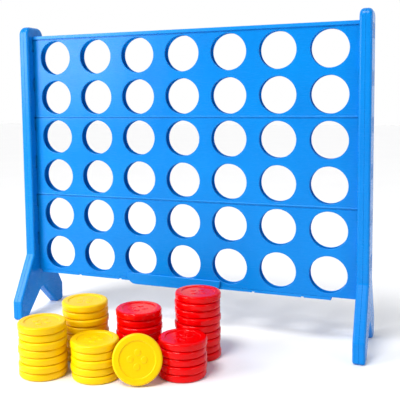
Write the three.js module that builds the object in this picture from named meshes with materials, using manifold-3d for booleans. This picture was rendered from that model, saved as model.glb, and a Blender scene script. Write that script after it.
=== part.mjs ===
// Giant four in a row: an upright lawn game with a seven by six grid of round windows,
// two hollow stands, a sliding release bar and 42 discs stacked on the ground in front.
// Millimetres. +Z is up, +X runs along the board and the players face each other along Y.

import * as THREE from 'three';
import { mergeVertices } from 'three/addons/utils/BufferGeometryUtils.js';
import Module from 'manifold-3d';

const wasm = await Module();
wasm.setup();

// ---- Driving dimensions ----

const COLUMNS = 7;
const ROWS = 6;
const ROWS_PER_BOARD = 2;
const COLUMN_PITCH = 157.5;
const ROW_PITCH = 138;
const WINDOW_DIAMETER = 116;
const BOARD_DEPTH = 32;
const GRID_CENTRE_HEIGHT = 569;
const WALL = 3.5;
const GAP = 0.3; // between pieces that touch
const OVERLAP = 1; // how far joined shapes run into each other

const DISC_DIAMETER = 137;
const DISC_THICKNESS = 21.5;
const CHANNEL_WIDTH = DISC_DIAMETER + 2.5; // a disc drops through with a little play
const GUIDE_THICKNESS = 3; // walls that stand between the columns

const LIP_HEIGHT = 11; // flared rim along the top of the board
const LIP_REACH = 4;
const LIP_RISE = 8; // how far the rim stands above the top row's disc space

const STAND_WIDTH = 37;
const STAND_INNER_X = 560;
const STAND_TOP = 1024;
const POST_HALF_DEPTH = 49;
const FOOT_HALF_DEPTH = 139;
const SPLAY_START_HEIGHT = 215;
const KNEE_HEIGHT = 65;
const NOTCH_HEIGHT = 84; // inverted V between the front and the back foot
const NOTCH_HALF_WIDTH = 91;
const NOTCH_APEX_RADIUS = 20;
const POST_TOP_RADIUS = 26;
const FOOT_CORNER_RADIUS = 10;
const STAND_EDGE_RADIUS = 7;

const SLOT_HEIGHT = 45; // mortise slots through the stands
const SLOT_CLEARANCE_OUTSIDE = 8; // slot edge beyond the board's face
const SLOT_CLEARANCE_INSIDE = 1; // slot edge behind the tab
const SLOT_RISE = 46; // slot centre above its row's centre
const TAB_HEIGHT = 36;
const TAB_RECESS = 3; // tab end below the stand's outer face

const BAR_HEIGHT = 9;
const BAR_BRIDGE = 18; // solid bridge under each column, which holds its discs up
const BRIDGE_THICKNESS = 3.2;
const BAR_NOTCH_WIDTH = 9; // small notches under the bar, one between each two columns
const BAR_NOTCH_HEIGHT = 3;
const GROOVE_HEIGHT = 3; // groove along each rail's inner face
const GROOVE_DEPTH = 1.8;
const GROOVE_RISE = 3.7; // groove's lower side above the bar's bottom
const BAR_HALF_PITCHES_LEFT = 3.5; // the bar's left end, in columns from the middle

const HANDLE_LENGTH = 333;
const HANDLE_TOP = 174;
const HANDLE_BOTTOM = 136;
const HANDLE_THICKNESS = 7;
const HANDLE_CORNER_RADIUS = 30;
const HANDLE_EDGE_RADIUS = 2;
const ARM_THICKNESS = 4; // arms that reach back from the handle under two bridges
const ARM_WIDTH = 16;
const ARM_REACH = 10; // how far an arm runs past the board's middle
const ARM_COLUMNS = [2, 3];

const LUG_WIDTH = 11; // hooks inside the bottom panels that carry the bar
const LUG_THICKNESS = 3;
const LUG_TOP = 166;
const LUG_PLACES = [-2.5, -1.5, 1.5, 2.5]; // in columns from the middle

const SCREW_RADIUS = 1.6;
const SCREW_HOLE_RADIUS = 2;
const SCREW_HEAD_RADIUS = 3.6;
const SCREW_HEAD_HEIGHT = 2.4;
const SCREW_LENGTH = 7.5;
const SCREW_Y = [-6, 4];

const STACK_WOBBLE = 1.6; // discs aren't stacked quite true
const STANDING_DISC = { x: 33, y: -466, turn: 25, lean: 15 };
const STACKS = [
  { colour: 'yellow', x: -250, y: -488, count: 7 },
  { colour: 'yellow', x: -195, y: -338, count: 8 },
  { colour: 'yellow', x: -101, y: -455, count: 5 },
  { colour: 'red', x: -40, y: -290, count: 7 },
  { colour: 'red', x: 118, y: -214, count: 9 },
  { colour: 'red', x: 124, y: -361, count: 5 },
];

const WINDOW_SIDES = 20;
const DISC_SIDES = 24;
const SCREW_SIDES = 12;
const CORNER_STEPS = 4;

// ---- Sizes worked out from the driving dimensions ----

const HALF_BOARD = BOARD_DEPTH / 2;
const BOARD_HALF_LENGTH = STAND_INNER_X - GAP;
const STAND_OUTER_X = STAND_INNER_X + STAND_WIDTH;
const BOARDS = ROWS / ROWS_PER_BOARD;
const BOARD_HEIGHT = ROWS_PER_BOARD * ROW_PITCH;
const GRID_BOTTOM = GRID_CENTRE_HEIGHT - (ROWS * ROW_PITCH) / 2;
const GRID_TOP = GRID_CENTRE_HEIGHT + (ROWS * ROW_PITCH) / 2;
const STACK_STEP = DISC_THICKNESS + GAP;
const BAR_TOP = GRID_BOTTOM - GAP;
const BAR_BOTTOM = BAR_TOP - BAR_HEIGHT;
const BAR_LEFT_END = -BAR_HALF_PITCHES_LEFT * COLUMN_PITCH;
const BAR_RIGHT_END = columnX(COLUMNS - 1) + BAR_BRIDGE / 2;
const BAR_JOINT_X = (columnX(ARM_COLUMNS[0]) + columnX(ARM_COLUMNS[1])) / 2;
const HANDLE_X = (BAR_LEFT_END + columnX(COLUMNS - 1)) / 2;
const HANDLE_BACK = -HALF_BOARD - GAP;

// ---- Finishes ----

const BLUE = { color: 0x008af2, roughness: 0.32, metalness: 0 };
const STEEL = { color: 0xb9bcc0, roughness: 0.35, metalness: 1 };
const DISC_FINISHES = {
  yellow: { color: 0xfed005, roughness: 0.38, metalness: 0 },
  red: { color: 0xe40008, roughness: 0.3, metalness: 0 },
};

// ---- Helpers ----

function range(count) {
  return Array.from({ length: count }, (_, index) => index);
}

function columnX(column) {
  return (column - (COLUMNS - 1) / 2) * COLUMN_PITCH;
}

function rowHeight(row) {
  return GRID_BOTTOM + (row + 0.5) * ROW_PITCH;
}

// A closed geometry as a solid that can be joined and cut.
function solid(geometry) {
  const shape = geometry.clone();
  shape.deleteAttribute('normal');
  shape.deleteAttribute('uv');
  const merged = mergeVertices(shape, 1e-4);
  return new wasm.Manifold(new wasm.Mesh({
    numProp: 3,
    vertProperties: new Float32Array(merged.attributes.position.array),
    triVerts: new Uint32Array(merged.index.array),
  }));
}

function box(low, high) {
  const size = high.map((value, axis) => value - low[axis]);
  const centre = high.map((value, axis) => (value + low[axis]) / 2);
  return solid(new THREE.BoxGeometry(...size).translate(...centre));
}

// A box given by its depth range on the front side, or mirrored to the back with side = 1.
function sideBox(side, [x0, x1], [near, far], [z0, z1]) {
  const y = [side * near, side * far].sort((a, b) => a - b);
  return box([x0, y[0], z0], [x1, y[1], z1]);
}

function join(parts) {
  return parts.reduce((whole, part) => whole.add(part));
}

function cut(body, tools) {
  return body.subtract(join(tools));
}

// Extrudes an outline drawn in the YZ plane along X.
function extrudeAlongX(outline, from, to, bevel = { bevelEnabled: false }) {
  const geometry = new THREE.ExtrudeGeometry(outline, { depth: to - from, ...bevel });
  const y = new THREE.Vector3(0, 1, 0);
  const z = new THREE.Vector3(0, 0, 1);
  const x = new THREE.Vector3(1, 0, 0);
  geometry.applyMatrix4(new THREE.Matrix4().makeBasis(y, z, x));
  return solid(geometry.translate(from, 0, 0));
}

// Extrudes an outline drawn in the XZ plane from its back face forwards, towards -Y.
function extrudeForwards(outline, back, depth, bevel = { bevelEnabled: false }) {
  const geometry = new THREE.ExtrudeGeometry(outline, { depth, ...bevel });
  const x = new THREE.Vector3(1, 0, 0);
  const z = new THREE.Vector3(0, 0, 1);
  const forwards = new THREE.Vector3(0, -1, 0);
  geometry.applyMatrix4(new THREE.Matrix4().makeBasis(x, z, forwards));
  return solid(geometry.translate(0, back, 0));
}

// Bevel settings that round the edges of an extrusion without making its outline larger.
function roundedEdge(radius, segments) {
  return {
    bevelEnabled: true,
    bevelThickness: radius,
    bevelSize: radius,
    bevelOffset: -radius,
    bevelSegments: segments,
    curveSegments: CORNER_STEPS,
  };
}

// Moves each point of a closed counter-clockwise outline inwards by a distance.
function inset(points, distance) {
  return points.map((point, index) => {
    const before = points[(index + points.length - 1) % points.length];
    const after = points[(index + 1) % points.length];
    const first = inwardNormal(before, point);
    const second = inwardNormal(point, after);
    const step = first.clone().add(second).multiplyScalar(distance / (1 + first.dot(second)));
    return point.clone().add(step);
  });
}

function inwardNormal(from, to) {
  const along = to.clone().sub(from).normalize();
  return new THREE.Vector2(-along.y, along.x);
}

function namedMesh(name, geometry, finish) {
  const mesh = new THREE.Mesh(geometry, new THREE.MeshStandardMaterial(finish));
  mesh.name = name;
  return mesh;
}

function namedSolid(name, body, finish) {
  const { vertProperties, triVerts } = body.getMesh();
  const geometry = new THREE.BufferGeometry();
  geometry.setAttribute('position', new THREE.BufferAttribute(vertProperties, 3));
  geometry.setIndex(new THREE.BufferAttribute(triVerts, 1));
  geometry.computeVertexNormals();
  return namedMesh(name, geometry, finish);
}

// ---- Board: three boards of two rows, each with a front and a back panel ----

function windowCutters(board) {
  const radius = WINDOW_DIAMETER / 2;
  return range(ROWS_PER_BOARD).flatMap((row) => range(COLUMNS).map((column) => {
    const cutter = new THREE.CylinderGeometry(radius, radius, 2 * BOARD_DEPTH, WINDOW_SIDES);
    const height = rowHeight(board * ROWS_PER_BOARD + row);
    return solid(cutter.translate(columnX(column), 0, height));
  }));
}

function boardBottom(board) {
  return GRID_BOTTOM + board * BOARD_HEIGHT + GAP;
}

// The rim along the board's top leans outwards, so that the channels open like a funnel.
function flaredLip(side) {
  const bottom = GRID_TOP + LIP_RISE - LIP_HEIGHT;
  const top = GRID_TOP + LIP_RISE;
  const points = [
    [HALF_BOARD - WALL, bottom - OVERLAP],
    [HALF_BOARD, bottom - OVERLAP],
    [HALF_BOARD, bottom],
    [HALF_BOARD + LIP_REACH, bottom],
    [HALF_BOARD + LIP_REACH, top],
    [HALF_BOARD + LIP_REACH - WALL, top],
    [HALF_BOARD - WALL, bottom],
  ];
  const outline = new THREE.Shape(points.map(([depth, height]) => new THREE.Vector2(side * depth, height)));
  return extrudeAlongX(outline, -BOARD_HALF_LENGTH, BOARD_HALF_LENGTH);
}

// Tabs on both ends of a panel, one for each row, which go through the stands' slots.
function endTabs(board, side) {
  const reach = [BOARD_HALF_LENGTH - OVERLAP, STAND_OUTER_X - TAB_RECESS];
  return range(ROWS_PER_BOARD).flatMap((row) => {
    const middle = rowHeight(board * ROWS_PER_BOARD + row) + SLOT_RISE;
    const heights = [middle - TAB_HEIGHT / 2, middle + TAB_HEIGHT / 2];
    return [-1, 1].map((end) => {
      const ends = reach.map((x) => end * x).sort((a, b) => a - b);
      return sideBox(side, ends, [HALF_BOARD - WALL, HALF_BOARD], heights);
    });
  });
}

// L-shaped hooks inside the bottom panels: their toes run in the grooves of the release bar's rails.
function barLugs(side) {
  const inner = HALF_BOARD - WALL;
  const hook = [inner - GAP - LUG_THICKNESS, inner - GAP];
  const toe = [hook[0], inner + GROOVE_DEPTH - GAP];
  const toeBottom = BAR_BOTTOM + GROOVE_RISE + GAP;
  const toeTop = toeBottom + GROOVE_HEIGHT - 2 * GAP;
  return LUG_PLACES.flatMap((place) => {
    const x = place * COLUMN_PITCH;
    const width = [x - LUG_WIDTH / 2, x + LUG_WIDTH / 2];
    return [
      sideBox(side, width, [hook[0], inner + OVERLAP], [GRID_BOTTOM + GAP, LUG_TOP]),
      sideBox(side, width, hook, [toeBottom, LUG_TOP]),
      sideBox(side, width, toe, [toeBottom, toeTop]),
    ];
  });
}

function panelPlate(board, side) {
  const isTop = board === BOARDS - 1;
  const top = isTop ? GRID_TOP + LIP_RISE - LIP_HEIGHT : boardBottom(board + 1) - GAP;
  const length = [-BOARD_HALF_LENGTH, BOARD_HALF_LENGTH];
  const plate = sideBox(side, length, [HALF_BOARD - WALL, HALF_BOARD], [boardBottom(board), top]);
  const parts = [plate, ...endTabs(board, side)];
  if (isTop) {
    parts.push(flaredLip(side));
  }
  if (board === 0) {
    parts.push(...barLugs(side));
  }
  return join(parts);
}

// Upright guide walls on the back panel, two for each column. They meet the front panel.
function guideWalls(board) {
  const isTop = board === BOARDS - 1;
  const top = isTop ? GRID_TOP + LIP_RISE - LIP_HEIGHT : boardBottom(board + 1) - GAP;
  const depth = [-HALF_BOARD + WALL + GAP, HALF_BOARD - WALL + OVERLAP];
  return range(COLUMNS).flatMap((column) => [-1, 1].map((side) => {
    const near = columnX(column) + (side * CHANNEL_WIDTH) / 2;
    const far = near + side * GUIDE_THICKNESS;
    const x = [Math.min(near, far), Math.max(near, far)];
    return box([x[0], depth[0], boardBottom(board)], [x[1], depth[1], top]);
  }));
}

function frontPanel(board) {
  return cut(panelPlate(board, -1), windowCutters(board));
}

function backPanel(board) {
  const pierced = cut(panelPlate(board, 1), windowCutters(board));
  return join([pierced, ...guideWalls(board)]);
}

// ---- Stands: an upright post that splays into two feet, split into two hollow halves ----

function standOutline() {
  const outline = new THREE.Shape();
  const lean = Math.atan2(NOTCH_HALF_WIDTH, NOTCH_HEIGHT);
  const apexCentre = NOTCH_HEIGHT - NOTCH_APEX_RADIUS;
  const footRadius = FOOT_CORNER_RADIUS;
  const topRadius = POST_TOP_RADIUS;
  const rightAngle = Math.PI / 2;
  const corner = FOOT_HALF_DEPTH - footRadius;
  const innerCorner = NOTCH_HALF_WIDTH + footRadius;
  const shoulder = POST_HALF_DEPTH - topRadius;
  const crown = STAND_TOP - topRadius;
  outline.absarc(corner, footRadius, footRadius, -rightAngle, 0);
  outline.lineTo(FOOT_HALF_DEPTH, KNEE_HEIGHT);
  outline.lineTo(POST_HALF_DEPTH, SPLAY_START_HEIGHT);
  outline.absarc(shoulder, crown, topRadius, 0, rightAngle);
  outline.absarc(-shoulder, crown, topRadius, rightAngle, Math.PI);
  outline.lineTo(-POST_HALF_DEPTH, SPLAY_START_HEIGHT);
  outline.lineTo(-FOOT_HALF_DEPTH, KNEE_HEIGHT);
  outline.absarc(-corner, footRadius, footRadius, Math.PI, 3 * rightAngle);
  outline.absarc(-innerCorner, footRadius, footRadius, 3 * rightAngle, 4 * rightAngle - lean);
  outline.absarc(0, apexCentre, NOTCH_APEX_RADIUS, Math.PI - lean, lean, true);
  outline.absarc(innerCorner, footRadius, footRadius, Math.PI + lean, 3 * rightAngle);
  return outline;
}

function slotCutters(side) {
  const ends = [side * (STAND_INNER_X - OVERLAP), side * (STAND_OUTER_X + OVERLAP)].sort((a, b) => a - b);
  const depth = [HALF_BOARD - WALL - SLOT_CLEARANCE_INSIDE, HALF_BOARD + SLOT_CLEARANCE_OUTSIDE];
  return range(ROWS).flatMap((row) => {
    const middle = rowHeight(row) + SLOT_RISE;
    const heights = [middle - SLOT_HEIGHT / 2, middle + SLOT_HEIGHT / 2];
    return [-1, 1].map((face) => sideBox(face, ends, depth, heights));
  });
}

// side is -1 for the left stand and 1 for the right, and half is 'inner' or 'outer'.
function standHalf(side, half) {
  const [from, to] = [side * STAND_INNER_X, side * STAND_OUTER_X].sort((a, b) => a - b);
  const middle = (from + to) / 2;
  const rounded = roundedEdge(STAND_EDGE_RADIUS, 2);
  const outline = standOutline();
  const skin = extrudeAlongX(outline, from + STAND_EDGE_RADIUS, to - STAND_EDGE_RADIUS, rounded);
  const inside = new THREE.Shape(inset(outline.getPoints(CORNER_STEPS).slice(0, -1), WALL));
  const hollow = extrudeAlongX(inside, from + WALL, to - WALL);
  const shell = cut(skin, [hollow, ...slotCutters(side)]);
  const reachesUp = (side > 0) === (half === 'outer');
  const x = reachesUp ? [middle + GAP / 2, to + OVERLAP] : [from - OVERLAP, middle - GAP / 2];
  const space = box([x[0], -2 * FOOT_HALF_DEPTH, -OVERLAP], [x[1], 2 * FOOT_HALF_DEPTH, 2 * STAND_TOP]);
  return shell.intersect(space);
}

// ---- Release bar: two rails with a bridge under each column, and the handle that joins its halves ----

// A vertical hole or shank, from z0 up to z1.
function upright(x, y, radius, z0, z1) {
  const rod = new THREE.CylinderGeometry(radius, radius, z1 - z0, SCREW_SIDES);
  return solid(rod.rotateX(Math.PI / 2).translate(x, y, (z0 + z1) / 2));
}

function screwPlaces() {
  return ARM_COLUMNS.flatMap((column) => SCREW_Y.map((y) => [columnX(column), y]));
}

function screwHoles() {
  const bottom = BAR_BOTTOM - 2 * ARM_THICKNESS;
  return screwPlaces().map(([x, y]) => upright(x, y, SCREW_HOLE_RADIUS, bottom, BAR_TOP - OVERLAP));
}

// Grooves along the rails' inner faces, and notches under the rails at the column boundaries.
function barCutters() {
  const groove = [BAR_BOTTOM + GROOVE_RISE, BAR_BOTTOM + GROOVE_RISE + GROOVE_HEIGHT];
  const grooveDepth = [HALF_BOARD - WALL - OVERLAP, HALF_BOARD - WALL + GROOVE_DEPTH];
  const length = [BAR_LEFT_END - OVERLAP, BAR_RIGHT_END + OVERLAP];
  const grooves = [-1, 1].map((side) => sideBox(side, length, grooveDepth, groove));
  const notches = range(COLUMNS - 1).map((column) => {
    const x = columnX(column) + COLUMN_PITCH / 2;
    const width = [x - BAR_NOTCH_WIDTH / 2, x + BAR_NOTCH_WIDTH / 2];
    const height = [BAR_BOTTOM - OVERLAP, BAR_BOTTOM + BAR_NOTCH_HEIGHT];
    return box([width[0], -BOARD_DEPTH, height[0]], [width[1], BOARD_DEPTH, height[1]]);
  });
  return [...grooves, ...notches];
}

// The bar is in two lengths that meet behind the handle, which joins them.
function releaseBar(from, to) {
  const height = [BAR_BOTTOM, BAR_TOP];
  const rails = [-1, 1].map((side) => sideBox(side, [from, to], [HALF_BOARD - WALL, HALF_BOARD], height));
  const covered = range(COLUMNS).map(columnX).filter((x) => x > from && x < to);
  const bridges = covered.map((x) => {
    const reach = HALF_BOARD - WALL + OVERLAP;
    const top = BAR_BOTTOM + BRIDGE_THICKNESS;
    return box([x - BAR_BRIDGE / 2, -reach, BAR_BOTTOM], [x + BAR_BRIDGE / 2, reach, top]);
  });
  return cut(join([...rails, ...bridges]), [...barCutters(), ...screwHoles()]);
}

function handleOutline() {
  const outline = new THREE.Shape();
  const left = HANDLE_X - HANDLE_LENGTH / 2;
  const right = HANDLE_X + HANDLE_LENGTH / 2;
  const radius = HANDLE_CORNER_RADIUS;
  const centre = HANDLE_BOTTOM + radius;
  outline.absarc(left + radius, centre, radius, Math.PI, 1.5 * Math.PI);
  outline.absarc(right - radius, centre, radius, 1.5 * Math.PI, 2 * Math.PI);
  outline.lineTo(right, HANDLE_TOP);
  outline.lineTo(left, HANDLE_TOP);
  return outline;
}

function releaseHandle() {
  const edge = HANDLE_EDGE_RADIUS;
  const depth = HANDLE_THICKNESS - 2 * edge;
  const plate = extrudeForwards(handleOutline(), HANDLE_BACK - edge, depth, roundedEdge(edge, 1));
  const armTop = BAR_BOTTOM - GAP;
  const arms = ARM_COLUMNS.map((column) => {
    const x = columnX(column);
    const front = HANDLE_BACK - HANDLE_THICKNESS / 2;
    return box([x - ARM_WIDTH / 2, front, armTop - ARM_THICKNESS], [x + ARM_WIDTH / 2, ARM_REACH, armTop]);
  });
  return cut(join([plate, ...arms]), screwHoles());
}

function handleScrew([x, y]) {
  const headTop = BAR_BOTTOM - GAP - ARM_THICKNESS - GAP;
  const head = upright(x, y, SCREW_HEAD_RADIUS, headTop - SCREW_HEAD_HEIGHT, headTop);
  const shank = upright(x, y, SCREW_RADIUS, headTop - OVERLAP, headTop + SCREW_LENGTH);
  return join([head, shank]);
}

// ---- Discs ----

function disc(colour, number) {
  const radius = DISC_DIAMETER / 2;
  const geometry = new THREE.CylinderGeometry(radius, radius, DISC_THICKNESS, DISC_SIDES);
  const name = `${colour}_disc_${String(number).padStart(2, '0')}`;
  return namedMesh(name, geometry.rotateX(Math.PI / 2), DISC_FINISHES[colour]);
}

// A pile of discs lying flat. Each one is a little off the pile's centre.
function stack({ colour, x, y, count }, firstNumber) {
  const pile = new THREE.Group();
  pile.position.set(x, y, 0);
  for (const level of range(count)) {
    const piece = disc(colour, firstNumber + level);
    const turn = 2.4 * (firstNumber + level);
    const height = DISC_THICKNESS / 2 + level * STACK_STEP;
    piece.position.set(STACK_WOBBLE * Math.cos(turn), STACK_WOBBLE * Math.sin(turn), height);
    pile.add(piece);
  }
  return pile;
}

// One disc stands on its edge and leans back into the corner between two piles.
function standingDisc(number) {
  const { x, y, turn, lean } = STANDING_DISC;
  const turned = THREE.MathUtils.degToRad(turn);
  const leaned = THREE.MathUtils.degToRad(lean);
  const piece = disc('yellow', number);
  const lowestReach = (DISC_DIAMETER * Math.cos(leaned) + DISC_THICKNESS * Math.sin(leaned)) / 2;
  piece.position.set(x, y, lowestReach);
  piece.rotation.set(Math.PI / 2 - leaned, 0, turned, 'ZXY');
  return piece;
}

function allDiscs() {
  const group = new THREE.Group();
  const nextNumber = { yellow: 1, red: 1 };
  for (const pile of STACKS) {
    group.add(stack(pile, nextNumber[pile.colour]));
    nextNumber[pile.colour] += pile.count;
  }
  group.add(standingDisc(nextNumber.yellow));
  return group;
}

// ---- The whole set ----

function allPanels() {
  const group = new THREE.Group();
  ['bottom', 'middle', 'top'].forEach((level, board) => {
    group.add(namedSolid(`${level}_front_panel`, frontPanel(board), BLUE));
    group.add(namedSolid(`${level}_back_panel`, backPanel(board), BLUE));
  });
  return group;
}

function bothStands() {
  const group = new THREE.Group();
  for (const [name, side] of [['left', -1], ['right', 1]]) {
    for (const half of ['inner', 'outer']) {
      group.add(namedSolid(`${name}_stand_${half}_half`, standHalf(side, half), BLUE));
    }
  }
  return group;
}

function releaseMechanism() {
  const group = new THREE.Group();
  group.add(namedSolid('release_bar_left', releaseBar(BAR_LEFT_END, BAR_JOINT_X - GAP / 2), BLUE));
  group.add(namedSolid('release_bar_right', releaseBar(BAR_JOINT_X + GAP / 2, BAR_RIGHT_END), BLUE));
  group.add(namedSolid('release_handle', releaseHandle(), BLUE));
  screwPlaces().forEach((place, index) => {
    group.add(namedSolid(`handle_screw_${index + 1}`, handleScrew(place), STEEL));
  });
  return group;
}

const game = new THREE.Group();
game.add(allPanels(), bothStands(), releaseMechanism(), allDiscs());

// The origin is on the ground, at the middle of the set's plan.
const extent = new THREE.Box3().setFromObject(game);
game.position.y = -(extent.min.y + extent.max.y) / 2;

export default game;
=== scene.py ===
"""Giant four in a row: the detailed pieces, materials, floor, lights and camera.

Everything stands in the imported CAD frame, in metres. +Z is up, +X runs along the board, and the loose discs
lie in front of the board, towards -Y.
"""

import math

import bmesh
import bpy
from mathutils import Matrix, Vector


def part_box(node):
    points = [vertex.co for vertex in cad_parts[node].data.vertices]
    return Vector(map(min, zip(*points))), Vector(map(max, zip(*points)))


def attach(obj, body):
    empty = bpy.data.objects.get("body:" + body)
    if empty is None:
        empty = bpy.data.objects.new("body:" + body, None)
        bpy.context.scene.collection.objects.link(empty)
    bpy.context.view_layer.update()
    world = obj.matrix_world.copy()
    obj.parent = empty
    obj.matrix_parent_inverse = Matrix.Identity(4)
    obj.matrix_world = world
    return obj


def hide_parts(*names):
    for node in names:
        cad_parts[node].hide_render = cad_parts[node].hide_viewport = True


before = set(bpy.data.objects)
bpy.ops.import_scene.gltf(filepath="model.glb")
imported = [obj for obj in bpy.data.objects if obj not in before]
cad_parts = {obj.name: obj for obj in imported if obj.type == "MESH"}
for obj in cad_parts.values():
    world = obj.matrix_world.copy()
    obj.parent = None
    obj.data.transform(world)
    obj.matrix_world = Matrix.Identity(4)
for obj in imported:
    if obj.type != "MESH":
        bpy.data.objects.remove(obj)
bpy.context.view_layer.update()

# ---- Driving dimensions, as in the CAD model ----

MM = 0.001
COLUMNS = 7
ROWS = 6
ROWS_PER_BOARD = 2
COLUMN_PITCH = 157.5 * MM
ROW_PITCH = 138 * MM
WINDOW_RADIUS = 58 * MM
GAP = 0.3 * MM  # between pieces that touch
OVERLAP = 1 * MM  # how far joined shapes run into each other
SLOT_RISE = 46 * MM
SLOT_HALF_HEIGHT = 22.5 * MM
SLOT_OUTSIDE = 8 * MM
SLOT_INSIDE = 1 * MM
TAB_HALF_HEIGHT = 18 * MM
GUIDE_OFFSET = 69.75 * MM
GUIDE_THICKNESS = 3 * MM
LIP_HEIGHT = 11 * MM
LIP_REACH = 4 * MM
LUG_PLACES = (-2.5, -1.5, 1.5, 2.5)  # in column pitches from the middle
LUG_HALF_WIDTH = 5.5 * MM
LUG_THICKNESS = 3 * MM
LUG_TOP = 166 * MM
TOE_BOTTOM = 149.7 * MM
TOE_TOP = 152.1 * MM
TOE_REACH = 1.5 * MM
SCREWS = 4
DISCS_OF_A_COLOUR = 21

# ---- Places taken from the frame ----

panel_low, panel_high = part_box("middle_front_panel")
FRONT_FACE = panel_low.y
WALL = panel_high.y - panel_low.y
BACK_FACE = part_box("middle_back_panel")[1].y
BOARD_MIDDLE = (FRONT_FACE + BACK_FACE) / 2
STAND_INNER_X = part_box("right_stand_inner_half")[0].x
STAND_OUTER_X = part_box("right_stand_outer_half")[1].x
STAND_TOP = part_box("right_stand_outer_half")[1].z
BOARD_END = STAND_INNER_X - GAP
TAB_END = panel_high.x
GRID_BOTTOM = panel_low.z - GAP - ROWS_PER_BOARD * ROW_PITCH


def column_x(column):
    return (column - (COLUMNS - 1) / 2) * COLUMN_PITCH


def row_height(row):
    return GRID_BOTTOM + (row + 0.5) * ROW_PITCH


def face_y(side, depth=0.0):
    """The board's front face (side -1) or back face (side 1), or the plane at some depth under it."""
    return BOARD_MIDDLE + side * ((BACK_FACE - FRONT_FACE) / 2 - depth)


# ---- Mesh helpers ----

MERGE_DISTANCE = 1e-6
SHARP_ANGLE = 35
FLAT_FACE_WEIGHT = 90


def loft(bm, rings, close_start=False, close_end=False):
    """Joins rings of points, all of one length, into a tube, whose ends may be closed with a face."""
    made = [[bm.verts.new(point) for point in ring] for ring in rings]
    for ring, following in zip(made, made[1:]):
        for i in range(len(ring)):
            j = (i + 1) % len(ring)
            bm.faces.new((ring[i], ring[j], following[j], following[i]))
    if close_start:
        bm.faces.new(list(reversed(made[0])))
    if close_end:
        bm.faces.new(made[-1])


def rounded_box(bm, low, high, radius):
    """Adds a box with rounded edges to bm."""
    part = bmesh.new()
    size = [b - a for a, b in zip(low, high)]
    centre = [(a + b) / 2 for a, b in zip(low, high)]
    bmesh.ops.create_cube(part, size=1.0)
    bmesh.ops.scale(part, vec=size, verts=part.verts)
    bmesh.ops.translate(part, vec=centre, verts=part.verts)
    bmesh.ops.bevel(part, geom=list(part.edges), offset=radius, segments=2, profile=0.5, affect="EDGES")
    append(bm, part)


def append(bm, part):
    """Adds the bmesh part to bm and frees it."""
    mesh = bpy.data.meshes.new("part")
    part.to_mesh(mesh)
    part.free()
    bm.from_mesh(mesh)
    bpy.data.meshes.remove(mesh)


def sweep_x(bm, outline):
    """Extrudes a closed outline of (y, z) points along the board, from end to end."""
    part = bmesh.new()
    rings = [[Vector((x, y, z)) for y, z in outline] for x in (-BOARD_END, BOARD_END)]
    loft(part, rings, close_start=True, close_end=True)
    bmesh.ops.recalc_face_normals(part, faces=part.faces)
    append(bm, part)


def arc(centre, radius, start, stop, steps):
    """Points on an arc, angles in degrees, both ends included."""
    points = []
    for i in range(steps + 1):
        angle = math.radians(start + (stop - start) * i / steps)
        points.append((centre[0] + radius * math.cos(angle), centre[1] + radius * math.sin(angle)))
    return points


def link_object(name, data):
    """Puts a mesh, lamp or camera into the scene as an object."""
    made = bpy.data.objects.new(name, data)
    bpy.context.scene.collection.objects.link(made)
    return made


def mesh_object(name, bm):
    """Turns bm into an object in the scene and frees it."""
    mesh = bpy.data.meshes.new(name)
    bm.to_mesh(mesh)
    bm.free()
    return link_object(name, mesh)


def piece(name, bm, material, body, node):
    """Turns bm into a finished piece that rides on a body and stands for a CAD node."""
    bmesh.ops.remove_doubles(bm, verts=bm.verts, dist=MERGE_DISTANCE)
    bmesh.ops.recalc_face_normals(bm, faces=bm.faces)
    finish_piece(mesh_object(name, bm), material, body, node)


def finish_piece(made, material, body, node):
    """Gives an object its material, shading and body, and hides the CAD node it stands for."""
    made.data.materials.clear()
    made.data.materials.append(material)
    smooth(made)
    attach(made, body)
    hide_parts(node)


def smooth(made):
    """Smooth shading, split at the sharp edges, with flat faces kept flat."""
    for polygon in made.data.polygons:
        polygon.use_smooth = True
    made.data.set_sharp_from_angle(angle=math.radians(SHARP_ANGLE))
    weighted = made.modifiers.new("flat_faces", "WEIGHTED_NORMAL")
    weighted.weight = FLAT_FACE_WEIGHT
    weighted.keep_sharp = True


def add_edge_bevel(made, width, least_angle):
    """A bevel modifier for the edges that turn by more than least_angle degrees."""
    bevel = made.modifiers.new("edges", "BEVEL")
    bevel.width = width
    bevel.segments = 2
    bevel.limit_method = "ANGLE"
    bevel.angle_limit = math.radians(least_angle)


def apply_modifiers(made):
    graph = bpy.context.evaluated_depsgraph_get()
    mesh = bpy.data.meshes.new_from_object(made.evaluated_get(graph))
    made.modifiers.clear()
    made.data = mesh


# ---- Materials ----


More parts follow.
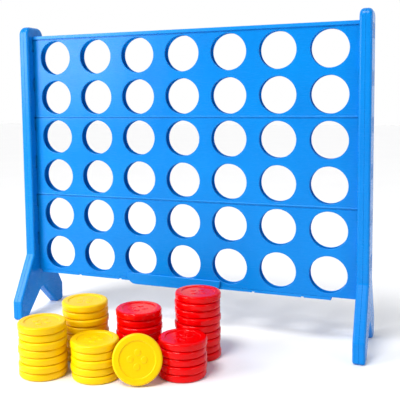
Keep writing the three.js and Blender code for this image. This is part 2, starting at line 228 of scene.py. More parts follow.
class Nodes:
    """A small helper that adds and links the shader nodes of a material or of the world."""

    def __init__(self, owner):
        self.owner = owner
        self.owner.use_nodes = True
        self.tree = owner.node_tree

    def add(self, kind, **settings):
        node = self.tree.nodes.new(kind)
        for key, value in settings.items():
            setattr(node, key, value)
        return node

    def link(self, source, target):
        self.tree.links.new(source, target)

    def noise(self, coordinates, scale, detail):
        node = self.add("ShaderNodeTexNoise")
        node.inputs["Scale"].default_value = scale
        node.inputs["Detail"].default_value = detail
        self.link(coordinates, node.inputs["Vector"])
        return node.outputs["Fac"]

    def remap(self, value, source_range, target_range):
        """Maps one range of values onto another, and holds what lies outside at the ends."""
        node = self.add("ShaderNodeMapRange")
        node.inputs["From Min"].default_value = source_range[0]
        node.inputs["From Max"].default_value = source_range[1]
        node.inputs["To Min"].default_value = target_range[0]
        node.inputs["To Max"].default_value = target_range[1]
        self.link(value, node.inputs["Value"])
        return node.outputs["Result"]

    def combine(self, operation, first, second):
        node = self.add("ShaderNodeMath", operation=operation)
        self.link(first, node.inputs[0])
        self.link(second, node.inputs[1])
        return node.outputs[0]

    def mix(self, factor, first, second):
        """Mixes two colours. Each is a socket or an (r, g, b) value."""
        node = self.add("ShaderNodeMix", data_type="RGBA")
        first_colour, second_colour, result = node.inputs[6], node.inputs[7], node.outputs[2]
        self.link(factor, node.inputs["Factor"])
        for value, socket in ((first, first_colour), (second, second_colour)):
            if isinstance(value, bpy.types.NodeSocket):
                self.link(value, socket)
            else:
                socket.default_value = (*value, 1.0)
        return result

    def bump(self, height, distance, normal=None):
        node = self.add("ShaderNodeBump")
        node.inputs["Distance"].default_value = distance
        node.inputs["Strength"].default_value = 1.0
        self.link(height, node.inputs["Height"])
        if normal is not None:
            self.link(normal, node.inputs["Normal"])
        return node.outputs["Normal"]


class MaterialNodes(Nodes):
    """The nodes of a new material, with its main shader and its object coordinates."""

    def __init__(self, name):
        super().__init__(bpy.data.materials.new(name))
        self.shader = self.tree.nodes["Principled BSDF"]
        self.place = self.add("ShaderNodeTexCoord").outputs["Object"]

    def feed(self, source, socket):
        """Links a source to one of the main shader's sockets."""
        self.link(source, self.shader.inputs[socket])

    def set(self, socket, value):
        """Sets one of the main shader's sockets to the same value all over."""
        self.shader.inputs[socket].default_value = value


# Scales are in features per metre, and depths are in metres.
TONE_SCALE = 5.0
SMUDGE_SCALE = 18.0
SCRATCH_SCALE = (40.0, 40.0, 900.0)
SCRATCH_TURN = (0.3, 0.6, 0.2)
WAVE_SCALE = 9.0
WAVE_DEPTH = 1.2 * MM
PEEL_SCALE = 260.0
PEEL_DEPTH = 0.08 * MM
GRAIN_SCALE = 1400.0
GRAIN_DEPTH = 0.02 * MM
# Painted highlight: the sharp edges, found by pointiness, are mixed towards a paler colour.
PAINTED_EDGE_HIGHLIGHT_POINTINESS = (0.52, 0.62)
PAINTED_EDGE_HIGHLIGHT_SHARE = 0.35
WEAR_RANGE = (0.12, 0.42)
ROUGHNESS_SPREAD = 0.05


def moulded_plastic(name, base, deep, painted_highlight_colour, roughness):
    """Glossy moulded plastic, between a base and a deep tone, with a painted highlight: its sharp edges are
    mixed towards a paler colour.
    """
    nodes = MaterialNodes(name)
    tone = nodes.remap(nodes.noise(nodes.place, TONE_SCALE, 4.0), (0.3, 0.7), (0.0, 1.0))
    pointiness = nodes.add("ShaderNodeNewGeometry").outputs["Pointiness"]
    # Painted highlight on the sharp edges.
    edges = nodes.remap(pointiness, PAINTED_EDGE_HIGHLIGHT_POINTINESS, (0.0, PAINTED_EDGE_HIGHLIGHT_SHARE))
    nodes.feed(nodes.mix(edges, nodes.mix(tone, base, deep), painted_highlight_colour), "Base Color")
    add_handling_wear(nodes, roughness)
    add_moulded_skin(nodes)
    nodes.set("IOR", 1.45)
    nodes.set("Specular IOR Level", 0.2)
    return nodes


def add_handling_wear(nodes, roughness):
    """Fine scratches in one direction and broad smudges, which vary the roughness."""
    stretched = nodes.add("ShaderNodeMapping")
    stretched.inputs["Scale"].default_value = SCRATCH_SCALE
    stretched.inputs["Rotation"].default_value = SCRATCH_TURN
    nodes.link(nodes.place, stretched.inputs["Vector"])
    scratches = nodes.noise(stretched.outputs["Vector"], 1.0, 2.0)
    smudges = nodes.noise(nodes.place, SMUDGE_SCALE, 5.0)
    wear = nodes.combine("MULTIPLY", scratches, smudges)
    spread = (roughness - ROUGHNESS_SPREAD, roughness + ROUGHNESS_SPREAD)
    nodes.feed(nodes.remap(wear, WEAR_RANGE, spread), "Roughness")


def add_moulded_skin(nodes):
    """The surface's slow waves, its orange peel and its finest grain, as bump on bump."""
    waves = nodes.bump(nodes.noise(nodes.place, WAVE_SCALE, 1.0), WAVE_DEPTH)
    peel = nodes.bump(nodes.noise(nodes.place, PEEL_SCALE, 2.0), PEEL_DEPTH, waves)
    grain = nodes.bump(nodes.noise(nodes.place, GRAIN_SCALE, 2.0), GRAIN_DEPTH, peel)
    nodes.feed(grain, "Normal")


def blue_plastic():
    nodes = moulded_plastic(
        "blue_moulded_plastic",
        base=(0.0, 0.215, 0.66),
        deep=(0.0, 0.185, 0.6),
        # The paler colour below is a painted highlight for the edges.
        painted_highlight_colour=(0.02, 0.3, 0.8),
        roughness=0.27,
    )
    return nodes.owner


def yellow_plastic():
    """The yellow lets a little light in, so its shaded sides glow."""
    nodes = moulded_plastic(
        "yellow_moulded_plastic",
        base=(0.92, 0.6, 0.0),
        deep=(0.88, 0.53, 0.0),
        # The paler colour below is a painted highlight for the edges.
        painted_highlight_colour=(0.98, 0.7, 0.01),
        roughness=0.34,
    )
    nodes.set("Subsurface Weight", 0.08)
    nodes.set("Subsurface Radius", (6 * MM, 4 * MM, 1 * MM))
    nodes.set("Subsurface Scale", 1.0)
    return nodes.owner


def red_plastic():
    nodes = moulded_plastic(
        "red_moulded_plastic",
        base=(0.84, 0.0, 0.001),
        deep=(0.7, 0.0, 0.001),
        # The paler colour below is a painted highlight for the edges.
        painted_highlight_colour=(0.95, 0.012, 0.012),
        roughness=0.17,
    )
    return nodes.owner


def zinc_steel():
    """Zinc-plated screws, with dull patches and a fine grain."""
    nodes = MaterialNodes("zinc_steel")
    patches = nodes.noise(nodes.place, 600.0, 4.0)
    nodes.feed(nodes.mix(patches, (0.55, 0.56, 0.58), (0.7, 0.7, 0.72)), "Base Color")
    nodes.feed(nodes.remap(patches, (0.3, 0.7), (0.28, 0.5)), "Roughness")
    nodes.feed(nodes.bump(nodes.noise(nodes.place, 4000.0, 2.0), 0.01 * MM), "Normal")
    nodes.set("Metallic", 1.0)
    return nodes.owner


BLUE = blue_plastic()
YELLOW = yellow_plastic()
RED = red_plastic()
ZINC = zinc_steel()

# ---- Board panels ----

WINDOW_STEPS = 64
WINDOW_EDGE_RADIUS = 1.6 * MM
WINDOW_EDGE_STEPS = 4
WINDOW_FLAT_BORDER = 2.5 * MM
SHEET_EDGE_RADIUS = 1.0 * MM
SHEET_EDGE_ANGLE = 80
SMALL_EDGE_RADIUS = 0.8 * MM
LIP_EDGE_RADIUS = 1.4 * MM
LIP_ROOT_DEPTH = 0.2 * MM
TAB_PLAY = 0.05 * MM
LUG_EDGE_RADIUS = 0.4 * MM
SEAM_BEAD_HEIGHT = 5 * MM
SEAM_BEAD_REACH = 2.0 * MM
SEAM_GROOVE = 3.4 * MM
SEAM_DEPTH = 3.0 * MM


def cell_outline(low, high):
    """WINDOW_STEPS points round a rectangle, from its lower right corner, evenly spread along each side."""
    (x0, z0), (x1, z1) = low, high
    corners = [(x1, z0), (x1, z1), (x0, z1), (x0, z0)]
    per_side = WINDOW_STEPS // 4
    points = []
    for (ax, az), (bx, bz) in zip(corners, corners[1:] + corners[:1]):
        for i in range(per_side):
            share = i / per_side
            points.append((ax + (bx - ax) * share, az + (bz - az) * share))
    return points


def window_ring(centre, radius, y):
    """A circle's points, in step with cell_outline: the first one points to the lower right corner."""
    circle = arc(centre, radius, -45, 315, WINDOW_STEPS)
    return [Vector((x, y, z)) for x, z in circle[:-1]]


def window_cell(bm, centre, low, high, outer_y, inner_y):
    """One window with the sheet around it: outer face, rounded window edge, wall and inner face."""
    inwards = 1 if inner_y > outer_y else -1
    outline = cell_outline(low, high)
    edge = WINDOW_EDGE_RADIUS
    rings = [[Vector((x, outer_y, z)) for x, z in outline]]
    rings.append(window_ring(centre, WINDOW_RADIUS + edge + WINDOW_FLAT_BORDER, outer_y))
    for i in range(WINDOW_EDGE_STEPS + 1):
        angle = math.radians(90 * i / WINDOW_EDGE_STEPS)
        radius = WINDOW_RADIUS + edge * (1 - math.sin(angle))
        rings.append(window_ring(centre, radius, outer_y + inwards * edge * (1 - math.cos(angle))))
    small = SMALL_EDGE_RADIUS
    rings.append(window_ring(centre, WINDOW_RADIUS, inner_y - inwards * small))
    rings.append(window_ring(centre, WINDOW_RADIUS + small, inner_y))
    rings.append(window_ring(centre, WINDOW_RADIUS + small + WINDOW_FLAT_BORDER, inner_y))
    rings.append([Vector((x, inner_y, z)) for x, z in outline])
    loft(bm, rings)


def window_sheet(bm, first_row, z_bottom, z_top, outer_y, inner_y):
    """A board's sheet with its windows, closed round the outside."""
    part = bmesh.new()
    between_columns = [column_x(c) + COLUMN_PITCH / 2 for c in range(COLUMNS - 1)]
    between_rows = [GRID_BOTTOM + (first_row + r) * ROW_PITCH for r in range(1, ROWS_PER_BOARD)]
    xs = [-BOARD_END, *between_columns, BOARD_END]
    zs = [z_bottom, *between_rows, z_top]
    for r in range(ROWS_PER_BOARD):
        for c in range(COLUMNS):
            centre = (column_x(c), row_height(first_row + r))
            window_cell(part, centre, (xs[c], zs[r]), (xs[c + 1], zs[r + 1]), outer_y, inner_y)
    bmesh.ops.remove_doubles(part, verts=part.verts, dist=MERGE_DISTANCE)
    rim = [e for e in part.edges if len(e.link_faces) == 1]
    bmesh.ops.bridge_loops(part, edges=rim)
    bmesh.ops.recalc_face_normals(part, faces=part.faces)
    square_angle = math.radians(SHEET_EDGE_ANGLE)
    square = [e for e in part.edges if len(e.link_faces) == 2 and e.calc_face_angle() > square_angle]
    bmesh.ops.bevel(part, geom=square, offset=SHEET_EDGE_RADIUS, segments=2, profile=0.5, affect="EDGES")
    append(bm, part)


def lip_outline(side, bottom, top):
    """The flared rim's section on one side (-1 front, 1 back): it leans out, with rounded edges."""
    reach = face_y(side, -LIP_REACH)
    inner = face_y(side, WALL)
    root = face_y(side, LIP_ROOT_DEPTH)
    soft = LIP_EDGE_RADIUS
    eighth_turns = (0, math.pi / 4, math.pi / 2)
    under = [
        (reach - side * soft * (1 - math.cos(a)), bottom + soft * (1 - math.sin(a)))
        for a in reversed(eighth_turns)
    ]
    over = [
        (reach - side * soft * (1 - math.cos(a)), top - soft * (1 - math.sin(a)))
        for a in eighth_turns
    ]
    points = [(inner, bottom - OVERLAP), (root, bottom - OVERLAP), (root, bottom)]
    points += under + over
    points.append((reach - side * (WALL - soft), top))
    points.append((reach - side * WALL, top - soft))
    points.append((inner, bottom + OVERLAP))
    return points


def add_tabs(bm, first_row, side):
    """Tabs on both ends that go through the stands' slots, with rounded ends."""
    y0, y1 = sorted((face_y(side), face_y(side, WALL)))
    for r in range(ROWS_PER_BOARD):
        middle = row_height(first_row + r) + SLOT_RISE
        for end in (-1, 1):
            x0, x1 = sorted((end * (BOARD_END - OVERLAP), end * TAB_END))
            low = (x0, y0 + TAB_PLAY, middle - TAB_HALF_HEIGHT)
            high = (x1, y1 - TAB_PLAY, middle + TAB_HALF_HEIGHT)
            rounded_box(bm, low, high, SMALL_EDGE_RADIUS)


def add_guides(bm, z_bottom, z_top):
    """The walls between the columns, two for each column."""
    for c in range(COLUMNS):
        for side in (-1, 1):
            near = column_x(c) + side * GUIDE_OFFSET
            x0, x1 = sorted((near, near + side * GUIDE_THICKNESS))
            low = (x0, FRONT_FACE + WALL + GAP, z_bottom)
            high = (x1, BACK_FACE - WALL / 2, z_top)
            rounded_box(bm, low, high, SMALL_EDGE_RADIUS)


def add_lugs(bm, side):
    """The hooks inside the bottom panels, whose toes run in the release bar's grooves."""
    inner = face_y(side, WALL)
    hook_inner = face_y(side, WALL + GAP + LUG_THICKNESS)
    hook_outer = face_y(side, WALL + GAP)
    for place in LUG_PLACES:
        x0, x1 = place * COLUMN_PITCH - LUG_HALF_WIDTH, place * COLUMN_PITCH + LUG_HALF_WIDTH
        blocks = (
            (hook_outer, TOE_BOTTOM, LUG_TOP),
            (inner + side * WALL / 2, GRID_BOTTOM + GAP, LUG_TOP),
            (inner + side * TOE_REACH, TOE_BOTTOM, TOE_TOP),
        )
        for outer, z0, z1 in blocks:
            y0, y1 = sorted((hook_inner, outer))
            rounded_box(bm, (x0, y0, z0), (x1, y1, z1), LUG_EDGE_RADIUS)


def seam_bead(bm, side, z_bottom):
    """The rounded bead along the bottom of each upper board, where it sits on the one below."""
    middle = face_y(side, WALL / 2)
    outline = [(middle, z_bottom), (middle, z_bottom + SEAM_BEAD_HEIGHT)]
    for out, up in arc((0.0, 0.5), 0.5, 90, -90, 6):
        outline.append((face_y(side, -2 * out * SEAM_BEAD_REACH), z_bottom + up * SEAM_BEAD_HEIGHT))
    sweep_x(bm, outline)


def seam_tongue(bm, side, z_sheet):
    """The set-back upper edge of a sheet, which makes a dark groove under the next board or the rim."""
    outer = face_y(side, SEAM_DEPTH)
    inner = face_y(side, WALL)
    low, high = z_sheet - OVERLAP, z_sheet + SEAM_GROOVE
    sweep_x(bm, [(inner, low), (outer, low), (outer, high), (inner, high)])


def board_panel(level, board, side):
    """One panel: level names the board, and side is -1 for the front and 1 for the back."""
    place = "front" if side < 0 else "back"
    node = f"{level}_{place}_panel"
    first_row = board * ROWS_PER_BOARD
    z_bottom = GRID_BOTTOM + first_row * ROW_PITCH + GAP
    z_top = z_bottom + ROWS_PER_BOARD * ROW_PITCH - GAP - SEAM_GROOVE
    bm = bmesh.new()
    if level == "top":
        lip_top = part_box(node)[1].z
        z_top = lip_top - LIP_HEIGHT - SEAM_GROOVE
        sweep_x(bm, lip_outline(side, lip_top - LIP_HEIGHT, lip_top))
    seam_tongue(bm, side, z_top)
    window_sheet(bm, first_row, z_bottom, z_top, face_y(side), face_y(side, WALL))
    add_tabs(bm, first_row, side)
    if side > 0:
        add_guides(bm, z_bottom + GAP, z_top - GAP)
    if level == "bottom":
        add_lugs(bm, side)
    else:
        seam_bead(bm, side, z_bottom)
    piece(f"{level}_board_{place}", bm, BLUE, "stand", node)


# ---- Stands ----

POST_HALF_DEPTH = 49 * MM
FOOT_HALF_DEPTH = 139 * MM
SPLAY_START_HEIGHT = 215 * MM
KNEE_HEIGHT = 65 * MM
NOTCH_HEIGHT = 84 * MM
NOTCH_HALF_WIDTH = 91 * MM
NOTCH_APEX_RADIUS = 20 * MM
POST_TOP_RADIUS = 26 * MM
FOOT_CORNER_RADIUS = 10 * MM
BEND_RADIUS = 14 * MM
BEND_STEPS = 4
STAND_EDGE_RADIUS = 7 * MM
STAND_TOP_EDGE_RADIUS = 13 * MM
TOP_EDGE_START = 30 * MM
STAND_EDGE_STEPS = 7
STAND_FLAT_BORDER = 1.5 * MM
CAVITY_EDGE = 4 * MM
PARTING_CHAMFER = 0.5 * MM
SLOT_CUT_START = STAND_INNER_X - 10 * MM  # the slots' cutters run past both faces
SLOT_CUT_END = STAND_OUTER_X + 10 * MM
SLOT_CORNER_RADIUS = 2 * MM
SLOT_EDGE_RADIUS = 0.7 * MM
SLOT_RIM_HEIGHT = 1.6 * MM
SLOT_RIM_WIDTH = 2.4 * MM
SLOT_RIM_EDGE_RADIUS = 0.6 * MM


def bend(before, corner, after):
    """An arc that rounds the corner between two straight lines."""
    a = (Vector(before) - Vector(corner)).normalized()
    b = (Vector(after) - Vector(corner)).normalized()
    half = a.angle(b) / 2
    reach = BEND_RADIUS / math.tan(half)
    middle = Vector(corner) + (a + b).normalized() * (BEND_RADIUS / math.sin(half))
    start = Vector(corner) + a * reach - middle
    stop = Vector(corner) + b * reach - middle
    turn = start.angle_signed(stop)
    points = []
    for i in range(BEND_STEPS + 1):
        spun = start.copy()
        spun.rotate(Matrix.Rotation(-turn * i / BEND_STEPS, 2))
        points.append(tuple(middle + spun))
    return points


def front_half_outline():
    """The stand's outline for y > 0 from the board's middle, from the notch's apex to the post's top."""
    lean = math.degrees(math.atan2(NOTCH_HALF_WIDTH, NOTCH_HEIGHT))
    foot = FOOT_CORNER_RADIUS
    apex = NOTCH_HEIGHT - NOTCH_APEX_RADIUS
    inner = (NOTCH_HALF_WIDTH + foot, foot)
    outer = (FOOT_HALF_DEPTH - foot, foot)
    start = (POST_HALF_DEPTH, SPLAY_START_HEIGHT)
    knee = (FOOT_HALF_DEPTH, KNEE_HEIGHT)
    crown = (POST_HALF_DEPTH - POST_TOP_RADIUS, STAND_TOP - POST_TOP_RADIUS)
    points = arc((0, apex), NOTCH_APEX_RADIUS, 90, lean, 6)
    points += arc(inner, foot, 180 + lean, 270, 5)
    points += arc(outer, foot, 270, 360, 6)
    points += bend((FOOT_HALF_DEPTH, 0), knee, start)
    points += bend(knee, start, (POST_HALF_DEPTH, STAND_TOP))
    points += arc(crown, POST_TOP_RADIUS, 0, 90, 8)
    points.append((0, STAND_TOP))
    return points


def stand_outline():
    """The whole outline, counter-clockwise seen from +X, without repeated points."""
    half = front_half_outline()
    mirrored = [(-y, z) for y, z in reversed(half[1:-1])]
    return half + mirrored


def inset(points, distances):
    """Moves each point of a closed counter-clockwise outline inwards, each by its own distance."""
    moved = []
    for i, point in enumerate(points):
        before, after = points[i - 1], points[(i + 1) % len(points)]
        first = inward_normal(before, point)
        second = inward_normal(point, after)
        step = (first + second) / (1 + first.dot(second))
        moved.append((point[0] + step.x * distances[i], point[1] + step.y * distances[i]))
    return moved


def inward_normal(a, b):
    along = (Vector(b) - Vector(a)).normalized()
    return Vector((-along.y, along.x))


def stand_edge_radius(z):
    """The radius of the stand's rounded edge, which grows towards the top of the post."""
    share = min(1.0, max(0.0, (z - (STAND_TOP - TOP_EDGE_START)) / TOP_EDGE_START))
    return STAND_EDGE_RADIUS + (STAND_TOP_EDGE_RADIUS - STAND_EDGE_RADIUS) * share


def stand_shell(skin, parting, outwards):
    """A hollow half of a stand, open at the parting plane. outwards points from there to the skin."""
    outline = stand_outline()
    radii = [stand_edge_radius(z) for _, z in outline]

    def ring(distances, xs):
        return [Vector((x, BOARD_MIDDLE + y, z)) for x, (y, z) in zip(xs, inset(outline, distances))]

    def flat_ring(distance, x):
        return ring([distance] * len(outline), [x] * len(outline))

    rings = [
        flat_ring(WALL + CAVITY_EDGE, skin - outwards * WALL),
        flat_ring(WALL, skin - outwards * (WALL + CAVITY_EDGE)),
        flat_ring(WALL, parting),
        flat_ring(PARTING_CHAMFER, parting),
        flat_ring(0.0, parting + outwards * PARTING_CHAMFER),
    ]
    for i in range(STAND_EDGE_STEPS + 1):
        angle = math.radians(90 * i / STAND_EDGE_STEPS)
        distances = [r * (1 - math.cos(angle)) for r in radii]
        xs = [skin - outwards * r * (1 - math.sin(angle)) for r in radii]
        rings.append(ring(distances, xs))
    rings.append(ring([r + STAND_FLAT_BORDER for r in radii], [skin] * len(outline)))
    bm = bmesh.new()
    loft(bm, rings, close_start=True, close_end=True)
    bmesh.ops.recalc_face_normals(bm, faces=bm.faces)
    return bm


def stand_half(stand, half):
    """Half a stand with rounded edges and slots. The inner half meets the board."""
    node = f"{stand}_stand_{half}_half"
    low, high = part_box(node)
    outwards = (1 if half == "outer" else -1) * (1 if stand == "right" else -1)
    parting, skin = (low.x, high.x) if outwards > 0 else (high.x, low.x)
    made = mesh_object(f"{stand}_stand_{half}", stand_shell(skin, parting, outwards))
    cut_slots(made)
    if half == "inner":
        add_slot_rims(made, skin, outwards)
    finish_piece(made, BLUE, "stand", node)


def cut_slots(made):
    """Cuts the slots for the boards' tabs, two beside each row, with rounded edges."""
    bm = bmesh.new()
    for row in range(ROWS):
        middle = row_height(row) + SLOT_RISE
        for side in (-1, 1):
            y0, y1 = sorted((face_y(side, WALL + SLOT_INSIDE), face_y(side, -SLOT_OUTSIDE)))
            for end in (-1, 1):
                x0, x1 = sorted((end * SLOT_CUT_START, end * SLOT_CUT_END))
                low = (x0, y0, middle - SLOT_HALF_HEIGHT)
                high = (x1, y1, middle + SLOT_HALF_HEIGHT)
                rounded_box(bm, low, high, SLOT_CORNER_RADIUS)
    cutter = mesh_object("slots", bm)
    boolean = made.modifiers.new("slots", "BOOLEAN")
    boolean.operation = "DIFFERENCE"
    boolean.solver = "EXACT"
    boolean.object = cutter
    add_edge_bevel(made, SLOT_EDGE_RADIUS, least_angle=60)
    apply_modifiers(made)
    bpy.data.objects.remove(cutter)


def add_slot_rims(made, skin, outwards):
    """A small raised rim beside each slot, on the face that the board meets."""
    bm = bmesh.new()
    bm.from_mesh(made.data)
    x0, x1 = sorted((skin - outwards * OVERLAP, skin + outwards * SLOT_RIM_HEIGHT))
    for row in range(ROWS):
        middle = row_height(row) + SLOT_RISE
        for side in (-1, 1):
            y0, y1 = sorted((face_y(side, -SLOT_OUTSIDE), face_y(side, -SLOT_OUTSIDE - SLOT_RIM_WIDTH)))
            low = (x0, y0, middle - SLOT_HALF_HEIGHT)
            high = (x1, y1, middle + SLOT_HALF_HEIGHT)
            rounded_box(bm, low, high, SLOT_RIM_EDGE_RADIUS)
    bm.to_mesh(made.data)
    bm.free()


# ---- Release bar, handle and screws ----

BAR_EDGE_RADIUS = 0.6 * MM
HANDLE_EDGE_RADIUS = 0.9 * MM
SCREW_EDGE_RADIUS = 0.2 * MM


def rounded_copy(node, name, material, radius):
    """The CAD node's own shape with its coplanar faces joined and its edges rounded."""
    bm = bmesh.new()
    bm.from_mesh(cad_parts[node].data)
    bmesh.ops.remove_doubles(bm, verts=bm.verts, dist=MERGE_DISTANCE)
    bmesh.ops.dissolve_limit(bm, angle_limit=math.radians(1), verts=bm.verts, edges=bm.edges)
    made = mesh_object(name, bm)
    add_edge_bevel(made, radius, least_angle=50)
    apply_modifiers(made)
    finish_piece(made, material, "release", node)


# ---- Discs ----

DISC_STEPS = 72
DISC_EDGE_RADIUS = 6.0 * MM
DISC_SIDE_LOOP_HEIGHT = 0.8 * MM  # an edge loop on each side of the middle
DISH_RADIUS_SHARE = 0.74
RIM_FLAT_BORDER = 1.2 * MM
DISH_DEPTH = 2.6 * MM
# The curved step from the dish to the rim, in mm: out from the dish's radius, and up from its floor.
RIM_STEP_MM = ((-3.2, 0.0), (-2.2, 0.1), (-1.2, 0.7), (-0.4, 2.1), (0.6, 2.52), (1.6, 2.6))
DOTS = 4
DOT_STEPS = 20
DOT_RADIUS = 9.5 * MM
DOT_OFFSET = 19 * MM
DOT_HEIGHT = 1.2 * MM
DOT_SINK = 0.2 * MM
# A dot's crown, as shares of its radius and of its height.
DOT_CROWN = ((0.0, 1.0), (0.6, 0.97), (0.82, 0.8), (0.95, 0.4))
SPIN_STEP = 1.7  # radians from each disc to the next, so that the dots don't line up


def disc_profile(radius, half):
    """(radius, height) points from the top's centre, over the rim and round the edge, to the bottom's."""
    dish = radius * DISH_RADIUS_SHARE
    floor = half - DISH_DEPTH
    edge = (radius - DISC_EDGE_RADIUS, half - DISC_EDGE_RADIUS)
    upper = [(0.0, floor), (dish / 2, floor)]
    upper += [(dish + out * MM, floor + up * MM) for out, up in RIM_STEP_MM]
    upper.append((radius - DISC_EDGE_RADIUS - RIM_FLAT_BORDER, half))
    upper += arc(edge, DISC_EDGE_RADIUS, 90, 0, 6)
    upper.append((radius, DISC_SIDE_LOOP_HEIGHT))
    lower = [(r, -z) for r, z in reversed(upper)]
    return upper + lower


def dot_profile():
    """A low round boss that stands in the dish, sunk a little into its floor."""
    points = [(DOT_RADIUS * out, DOT_HEIGHT * up) for out, up in DOT_CROWN]
    return points + [(DOT_RADIUS, -DOT_SINK), (0.0, -DOT_SINK)]


def lathe(bm, profile, place, steps):
    """Turns a profile round Z; its first and last points lie on the axis. place is a matrix."""
    rings = []
    for r, z in profile[1:-1]:
        circle = arc((0, 0), r, 0, 360, steps)
        rings.append([bm.verts.new(place @ Vector((x, y, z))) for x, y in circle[:-1]])
    top, bottom = [bm.verts.new(place @ Vector((0, 0, profile[i][1]))) for i in (0, -1)]
    for ring, following in zip(rings, rings[1:]):
        for i in range(steps):
            j = (i + 1) % steps
            bm.faces.new((ring[i], following[i], following[j], ring[j]))
    for i in range(steps):
        j = (i + 1) % steps
        bm.faces.new((top, rings[0][i], rings[0][j]))
        bm.faces.new((bottom, rings[-1][j], rings[-1][i]))


def disc_place(node, number):
    """The matrix that carries a disc lying at the origin to its CAD node's place."""
    low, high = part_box(node)
    move = Matrix.Translation((low + high) / 2)
    tip = Vector((0, 0, 1)).rotation_difference(flat_axis(node)).to_matrix().to_4x4()
    spin = Matrix.Rotation(SPIN_STEP * number, 4, "Z")
    return move @ tip @ spin


def flat_axis(node):
    """Of the normals of a disc's two largest flat faces, the one that points higher."""
    areas = {}
    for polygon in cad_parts[node].data.polygons:
        key = tuple(round(v, 2) for v in polygon.normal)
        areas.setdefault(key, [0.0, polygon.normal.copy()])[0] += polygon.area
    largest = sorted(areas.values(), key=lambda entry: -entry[0])[:2]
    return max((normal for _, normal in largest), key=lambda normal: normal.z)


def disc(colour, number, material):
    """One disc with a rim, and a dish with dots on each side. The first disc lies flat and gives the size."""
    node = f"{colour}_disc_{number:02d}"
    low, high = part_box(f"{colour}_disc_01")
    radius = (high.x - low.x) / 2
    half = (high.z - low.z) / 2
    place = disc_place(node, number)
    bm = bmesh.new()
    lathe(bm, disc_profile(radius, half), place, DISC_STEPS)
    upright = Matrix.Identity(4)
    upside_down = Matrix.Rotation(math.pi, 4, "X")
    for face, turn in ((1, upright), (-1, upside_down)):
        floor = face * (half - DISH_DEPTH)
        for x, y in arc((0, 0), DOT_OFFSET, 45, 405, DOTS)[:-1]:
            lathe(bm, dot_profile(), place @ Matrix.Translation((x, y, floor)) @ turn, DOT_STEPS)
    piece(f"{colour}_counter_{number:02d}", bm, material, node, node)


# ---- Build ----

for board, level in enumerate(("bottom", "middle", "top")):
    for side in (-1, 1):
        board_panel(level, board, side)
for stand in ("left", "right"):
    for half in ("inner", "outer"):
        stand_half(stand, half)
for end in ("left", "right"):
    rounded_copy(f"release_bar_{end}", f"sliding_bar_{end}", BLUE, BAR_EDGE_RADIUS)
rounded_copy("release_handle", "slide_handle", BLUE, HANDLE_EDGE_RADIUS)
for number in range(1, SCREWS + 1):
    rounded_copy(f"handle_screw_{number}", f"screw_{number}", ZINC, SCREW_EDGE_RADIUS)
for number in range(1, DISCS_OF_A_COLOUR + 1):
    disc("yellow", number, YELLOW)
    disc("red", number, RED)

# ---- Floor, lights and camera ----

FLOOR_REACH = 14.0
FLOOR_DROP = 0.4 * MM  # keeps the floor clear of the feet
ROOM_BRIGHTNESS = 0.2
BACKDROP_START = -0.05  # Y of the direction looked in, where 1 is straight towards +Y
BACKDROP_FULL = 0.45
LEFT_PLACE = (-1.95, -1.9, 1.45)
LEFT_TARGET = (-0.2, 0.2, 0.6)
LEFT_SIZE = 1.4
LEFT_WATTS = 75
RIGHT_PLACE = (2.3, -0.9, 1.3)
RIGHT_TARGET = (0.4, 0.2, 0.5)
RIGHT_SIZE = 0.45
RIGHT_WATTS = 9
KEY_STRENGTH = 2.15
KEY_SPREAD = 20  # degrees
KEY_DIRECTION = (-0.25, -0.7, 1.3)
CAMERA_PLACE = (0.7808, BOARD_MIDDLE - 2.0672, 0.7856)
CAMERA_TURN = 21.84  # degrees from +Y towards -X
CAMERA_TILT = 5.08  # degrees downwards
CAMERA_ROLL = -0.78  # degrees
LENS_MM = 60.5
SENSOR_MM = 36.0
FRAMING_SHIFT = (0.073, -0.1175)


def pale_floor():
    mesh = bpy.data.meshes.new("floor")
    corners = [(x * FLOOR_REACH, y * FLOOR_REACH, 0) for x, y in ((-1, -1), (1, -1), (1, 1), (-1, 1))]
    mesh.from_pydata(corners, [], [(0, 1, 2, 3)])
    floor = link_object("floor", mesh)
    floor.location.z = -FLOOR_DROP
    nodes = MaterialNodes("pale_floor")
    tone = nodes.noise(nodes.place, 2.0, 3.0)
    nodes.feed(nodes.mix(tone, (0.9, 0.9, 0.9), (0.86, 0.86, 0.87)), "Base Color")
    nodes.set("Roughness", 0.55)
    mesh.materials.append(nodes.owner)


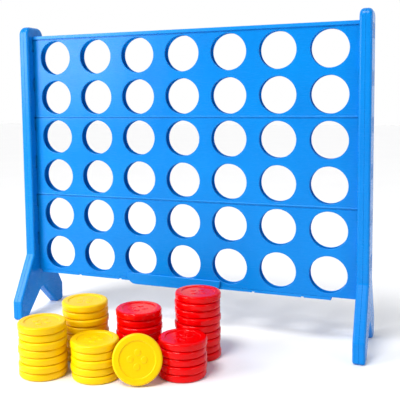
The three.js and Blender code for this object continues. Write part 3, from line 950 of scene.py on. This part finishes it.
def backdrop():
    """A white backdrop that the camera sees all round; it lights the set fully only from behind the board."""
    world = bpy.data.worlds.new("studio")
    bpy.context.scene.world = world
    nodes = Nodes(world)
    direction = nodes.add("ShaderNodeTexCoord").outputs["Generated"]
    parts = nodes.add("ShaderNodeSeparateXYZ")
    nodes.link(direction, parts.inputs["Vector"])
    fade = nodes.remap(parts.outputs["Y"], (BACKDROP_START, BACKDROP_FULL), (ROOM_BRIGHTNESS, 1.0))
    seen = nodes.add("ShaderNodeLightPath").outputs["Is Camera Ray"]
    background = nodes.tree.nodes["Background"]
    nodes.link(nodes.combine("MAXIMUM", seen, fade), background.inputs["Strength"])
    background.inputs["Color"].default_value = (1.0, 1.0, 1.0, 1.0)


def softbox(name, place, target, size, watts):
    data = bpy.data.lights.new(name, "AREA")
    data.shape = "SQUARE"
    data.size = size
    data.energy = watts
    lamp = link_object(name, data)
    lamp.location = place
    lamp.rotation_euler = (Vector(target) - Vector(place)).to_track_quat("-Z", "Y").to_euler()


def key_light():
    """A high, wide light from the front left, which throws the soft shadows behind the board."""
    data = bpy.data.lights.new("key", "SUN")
    data.energy = KEY_STRENGTH
    data.angle = math.radians(KEY_SPREAD)
    lamp = link_object("key", data)
    lamp.rotation_euler = Vector(KEY_DIRECTION).to_track_quat("Z", "Y").to_euler()


def photo_camera():
    """The camera, by its compass direction, tilt and roll, with the framing's small shift."""
    turn, tilt, roll = (math.radians(angle) for angle in (CAMERA_TURN, CAMERA_TILT, CAMERA_ROLL))
    forward = Vector((-math.sin(turn) * math.cos(tilt), math.cos(turn) * math.cos(tilt), -math.sin(tilt)))
    level_right = Vector((math.cos(turn), math.sin(turn), 0))
    level_up = level_right.cross(forward)
    right = level_right * math.cos(roll) + level_up * math.sin(roll)
    up = level_up * math.cos(roll) - level_right * math.sin(roll)
    data = bpy.data.cameras.new("camera")
    data.lens = LENS_MM
    data.sensor_width = SENSOR_MM
    data.shift_x, data.shift_y = FRAMING_SHIFT
    camera = link_object("camera", data)
    axes = Matrix((right, up, -forward)).transposed().to_4x4()
    camera.matrix_world = Matrix.Translation(CAMERA_PLACE) @ axes
    bpy.context.scene.camera = camera


pale_floor()
backdrop()
softbox("left_softbox", LEFT_PLACE, LEFT_TARGET, LEFT_SIZE, LEFT_WATTS)
softbox("right_softbox", RIGHT_PLACE, RIGHT_TARGET, RIGHT_SIZE, RIGHT_WATTS)
key_light()
photo_camera()
bpy.context.scene.view_settings.view_transform = "Standard"
